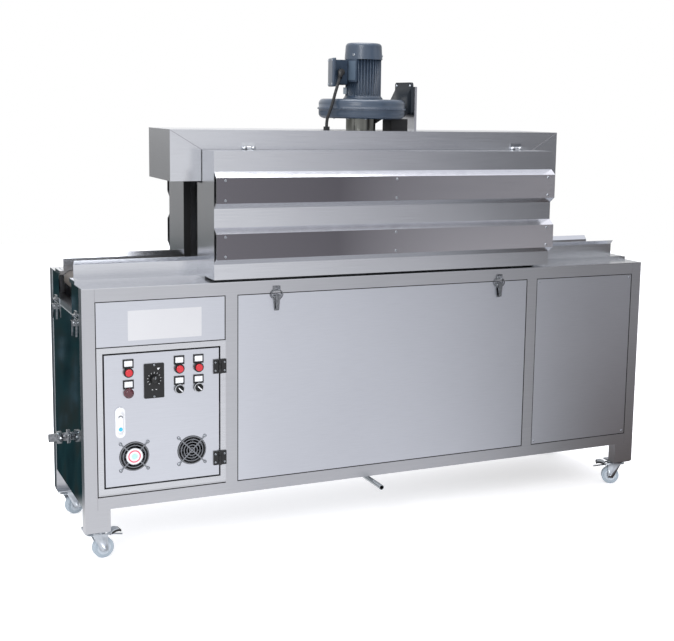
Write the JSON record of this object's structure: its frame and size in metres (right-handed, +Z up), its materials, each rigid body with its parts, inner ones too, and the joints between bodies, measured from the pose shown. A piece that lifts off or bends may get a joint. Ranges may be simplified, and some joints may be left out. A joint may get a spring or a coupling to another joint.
{
  "type": "steam shrink machine on casters",
  "caption": "Steam shrink tunnel for sleeve labels: a stainless base on casters with a conveyor, a lift-up tunnel door, an exhaust hood and a blower.",
  "frame": {"origin": "on the floor, in the middle of the box that the machine takes", "axes": "+X along the conveyor to the right seen from the front, +Y to the rear, +Z up"},
  "size_m": [2.071, 0.602, 1.579],
  "materials": {
    "stainless": "brushed",
    "chrome": "polished",
    "zinc": "zinc plated",
    "enamel": "blue-grey enamel",
    "belt": "matte",
    "black_plastic": "satin black",
    "white_plastic": "satin white",
    "legend": "satin",
    "lamp": "dark red",
    "red": "gloss",
    "seal": "matte black",
    "cable": "matte black",
    "wheel": "pale grey tread"
  },
  "bodies": {
    "base": {"front_frame": "stainless", "rear_frame": "stainless", "cross_rails": "stainless", "end_panels": "stainless", "deck_plates": "stainless", "conveyor_bed": "stainless", "conveyor_belt": "belt", "nose_rollers": "stainless", "side_guides": "stainless", "rear_wall": "stainless", "rear_wall_liner": "stainless", "rear_wall_ribs": "stainless", "rear_entry_seals": "seal", "hood": "stainless", "hood_hinges": "chrome", "bay_panels": "stainless", "bottom_sheet": "stainless", "control_cabinet": "stainless", "cabinet_hinges": "black_plastic", "blower_duct": "stainless", "blower_volute": "enamel", "blower_supports": "enamel", "motor_body": "enamel", "motor_cowl": "enamel", "terminal_box": "enamel", "cable_glands": "black_plastic", "motor_cable": "cable", "steam_inlet": "stainless", "drain_pipe": "stainless", "toggle_latches": "chrome", "caster_plates": "zinc"},
    "lift_door": {"tunnel_door": "stainless", "tunnel_door_liner": "stainless", "tunnel_door_ribs": "stainless", "front_entry_seals": "seal", "tunnel_door_hinges": "chrome"},
    "cabinet_door": {"control_door": "stainless", "control_door_hinges": "black_plastic", "button_bezels": "black_plastic", "pilot_lamp": "lamp", "control_plates": "legend", "panel_lock": "white_plastic", "fan_guards": "chrome", "cabinet_fans": "black_plastic"},
    "button_1": {"red_button_1": "red"},
    "button_2": {"red_button_2": "red"},
    "button_3": {"red_button_3": "red"},
    "switch_1": {"selector_1": "black_plastic"},
    "switch_2": {"selector_2": "black_plastic"},
    "speed_dial": {"speed_knob": "black_plastic"},
    "caster_front_left": {"fork_front_left": "zinc"},
    "roller_front_left": {"wheel_front_left": "wheel"},
    "caster_front_right": {"fork_front_right": "zinc"},
    "roller_front_right": {"wheel_front_right": "wheel"},
    "caster_rear_left": {"fork_rear_left": "zinc"},
    "roller_rear_left": {"wheel_rear_left": "wheel"},
    "caster_rear_right": {"fork_rear_right": "zinc"},
    "roller_rear_right": {"wheel_rear_right": "wheel"}
  },
  "joints": [
    {"name": "lift_door_hinge", "type": "hinge", "parent": "base", "child": "lift_door", "pos_m": [0.0225, -0.105, 1.236], "axis": [-1, 0, 0], "range_deg": [0, 85]},
    {"name": "cabinet_door_hinge", "type": "hinge", "parent": "base", "child": "cabinet_door", "pos_m": [-0.561, -0.229, 0.43], "axis": [0, 0, 1], "range_deg": [0, 120]},
    {"name": "press_button_1", "type": "slide", "parent": "cabinet_door", "child": "button_1", "axis": [0, 1, 0], "range_m": [0, 0.004], "stiffness_N_per_m": 800, "springref_m": -0.001},
    {"name": "press_button_2", "type": "slide", "parent": "cabinet_door", "child": "button_2", "axis": [0, 1, 0], "range_m": [0, 0.004], "stiffness_N_per_m": 800, "springref_m": -0.001},
    {"name": "press_button_3", "type": "slide", "parent": "cabinet_door", "child": "button_3", "axis": [0, 1, 0], "range_m": [0, 0.004], "stiffness_N_per_m": 800, "springref_m": -0.001},
    {"name": "turn_switch_1", "type": "hinge", "parent": "cabinet_door", "child": "switch_1", "pos_m": [-0.6885, -0.232, 0.513], "axis": [0, -1, 0], "range_deg": [0, 90]},
    {"name": "turn_switch_2", "type": "hinge", "parent": "cabinet_door", "child": "switch_2", "pos_m": [-0.6285, -0.232, 0.513], "axis": [0, -1, 0], "range_deg": [0, 90]},
    {"name": "turn_speed_dial", "type": "hinge", "parent": "cabinet_door", "child": "speed_dial", "pos_m": [-0.766, -0.236, 0.5495], "axis": [0, -1, 0], "range_deg": [-135, 135]},
    {"name": "swivel_front_left", "type": "hinge", "parent": "base", "child": "caster_front_left", "pos_m": [-0.9395, -0.186, 0.083], "axis": [0, 0, 1], "continuous": true},
    {"name": "roll_front_left", "type": "hinge", "parent": "caster_front_left", "child": "roller_front_left", "pos_m": [-0.91771, -0.18294, 0.0315], "axis": [-0.1392, 0.9903, 0], "continuous": true},
    {"name": "swivel_front_right", "type": "hinge", "parent": "base", "child": "caster_front_right", "pos_m": [0.9845, -0.186, 0.083], "axis": [0, 0, 1], "continuous": true},
    {"name": "roll_front_right", "type": "hinge", "parent": "caster_front_right", "child": "roller_front_right", "pos_m": [0.96545, -0.175, 0.0315], "axis": [-0.5, -0.866, 0], "continuous": true},
    {"name": "swivel_rear_left", "type": "hinge", "parent": "base", "child": "caster_rear_left", "pos_m": [-0.9395, 0.238, 0.083], "axis": [0, 0, 1], "continuous": true},
    {"name": "roll_rear_left", "type": "hinge", "parent": "caster_rear_left", "child": "roller_rear_left", "pos_m": [-0.91883, 0.24552, 0.0315], "axis": [-0.342, 0.9397, 0], "continuous": true},
    {"name": "swivel_rear_right", "type": "hinge", "parent": "base", "child": "caster_rear_right", "pos_m": [0.9845, 0.238, 0.083], "axis": [0, 0, 1], "continuous": true},
    {"name": "roll_rear_right", "type": "hinge", "parent": "caster_rear_right", "child": "roller_rear_right", "pos_m": [0.96383, 0.24552, 0.0315], "axis": [-0.342, -0.9397, 0], "continuous": true}
  ]
}
